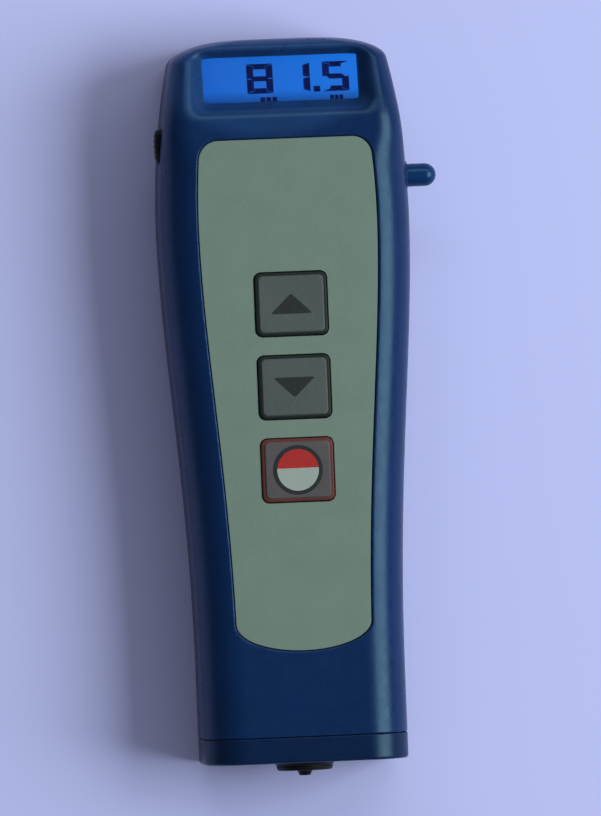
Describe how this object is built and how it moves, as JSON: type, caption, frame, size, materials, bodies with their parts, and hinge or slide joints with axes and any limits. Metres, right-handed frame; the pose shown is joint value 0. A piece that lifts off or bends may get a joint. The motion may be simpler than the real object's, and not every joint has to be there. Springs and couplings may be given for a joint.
{
  "type": "coating thickness gauge",
  "caption": "Pocket coating thickness gauge with a sloped back-lit number display, soft keys on a sunk panel, side push buttons and a spring-loaded probe in its foot.",
  "frame": {"origin": "on the back face, on the centre line, level with the widest place of the case", "axes": "+X across the case to the domed button, +Y along the case towards the display, +Z out of the front"},
  "size_m": [0.0564, 0.1489, 0.0262],
  "materials": {
    "case_blue": "fine moulded texture, satin",
    "rear_blue": "fine moulded texture, satin",
    "cap_blue": "fine moulded texture, satin",
    "button_blue": "smooth moulded, semi-gloss",
    "panel_green": "fine matte printed film",
    "key_grey": "matte, printed symbols",
    "power_grey": "matte, printed two-colour disc",
    "black_plastic": "fine matte",
    "switch_black": "moulded",
    "clear_window": "clear, polished",
    "display_blue": "back-lit blue with dark digits",
    "light_guide": "milky",
    "ribbon_amber": "polyimide film",
    "board_green": "solder resist",
    "chip_black": "moulded",
    "can_metal": "drawn can",
    "socket_cream": "moulded",
    "screw_steel": "zinc plated",
    "cell_wrap": "printed sleeve over steel",
    "contact_metal": "nickel plated",
    "core_steel": "ground",
    "brass_nut": "turned",
    "copper_wire": "enamelled copper winding",
    "lead_rubber": "soft sleeve"
  },
  "bodies": {
    "case": {"front_shell": "case_blue", "rear_shell": "rear_blue", "end_cap": "cap_blue", "case_screws": "screw_steel", "cap_screws": "screw_steel", "key_panel": "panel_green", "key_switches": "switch_black", "lcd_window": "clear_window", "lcd_glass": "display_blue", "lcd_backlight": "light_guide", "lcd_holder": "black_plastic", "lcd_ribbon": "ribbon_amber", "main_board": "board_green", "board_screws": "screw_steel", "processor_chip": "chip_black", "amplifier_chip": "chip_black", "crystal_can": "can_metal", "board_capacitors": "can_metal", "buzzer": "chip_black", "probe_socket": "socket_cream", "button_switch": "switch_black", "side_key_switch": "switch_black", "battery_left": "cell_wrap", "battery_right": "cell_wrap", "battery_plates": "contact_metal", "battery_springs": "contact_metal", "probe_sleeve": "black_plastic", "probe_nut": "brass_nut", "probe_spring": "contact_metal", "probe_plug": "chip_black", "probe_lead": "lead_rubber"},
    "key_up": {"key_up": "key_grey", "up_plunger": "switch_black"},
    "key_down": {"key_down": "key_grey", "down_plunger": "switch_black"},
    "key_power": {"key_power": "power_grey", "power_plunger": "switch_black"},
    "side_button": {"side_button": "button_blue", "button_plunger": "switch_black"},
    "side_key": {"side_key": "black_plastic", "side_key_plunger": "switch_black"},
    "probe": {"probe_core": "core_steel", "probe_bobbin": "socket_cream", "probe_coil": "copper_wire"},
    "battery_door": {"battery_door": "rear_blue"}
  },
  "joints": [
    {"name": "up_key_press", "type": "slide", "parent": "case", "child": "key_up", "axis": [0, 0, -1], "range_m": [0, 0.0006], "stiffness_N_per_m": 2500, "springref_m": -0.0003},
    {"name": "down_key_press", "type": "slide", "parent": "case", "child": "key_down", "axis": [0, 0, -1], "range_m": [0, 0.0006], "stiffness_N_per_m": 2500, "springref_m": -0.0003},
    {"name": "power_key_press", "type": "slide", "parent": "case", "child": "key_power", "axis": [0, 0, -1], "range_m": [0, 0.0006], "stiffness_N_per_m": 2500, "springref_m": -0.0003},
    {"name": "side_button_press", "type": "slide", "parent": "case", "child": "side_button", "axis": [-1, 0, 0], "range_m": [0, 0.002], "stiffness_N_per_m": 1200, "springref_m": -0.0006},
    {"name": "side_key_press", "type": "slide", "parent": "case", "child": "side_key", "axis": [1, 0, 0], "range_m": [0, 0.0006], "stiffness_N_per_m": 2500, "springref_m": -0.0003},
    {"name": "probe_press", "type": "slide", "parent": "case", "child": "probe", "axis": [0, 1, 0], "range_m": [0, 0.001], "stiffness_N_per_m": 1000, "springref_m": -0.001, "deforming": ["probe_spring"]},
    {"name": "battery_door_hinge", "type": "hinge", "parent": "case", "child": "battery_door", "pos_m": [0, -0.08, 0.001], "axis": [-1, 0, 0], "range_deg": [0, 90]}
  ]
}
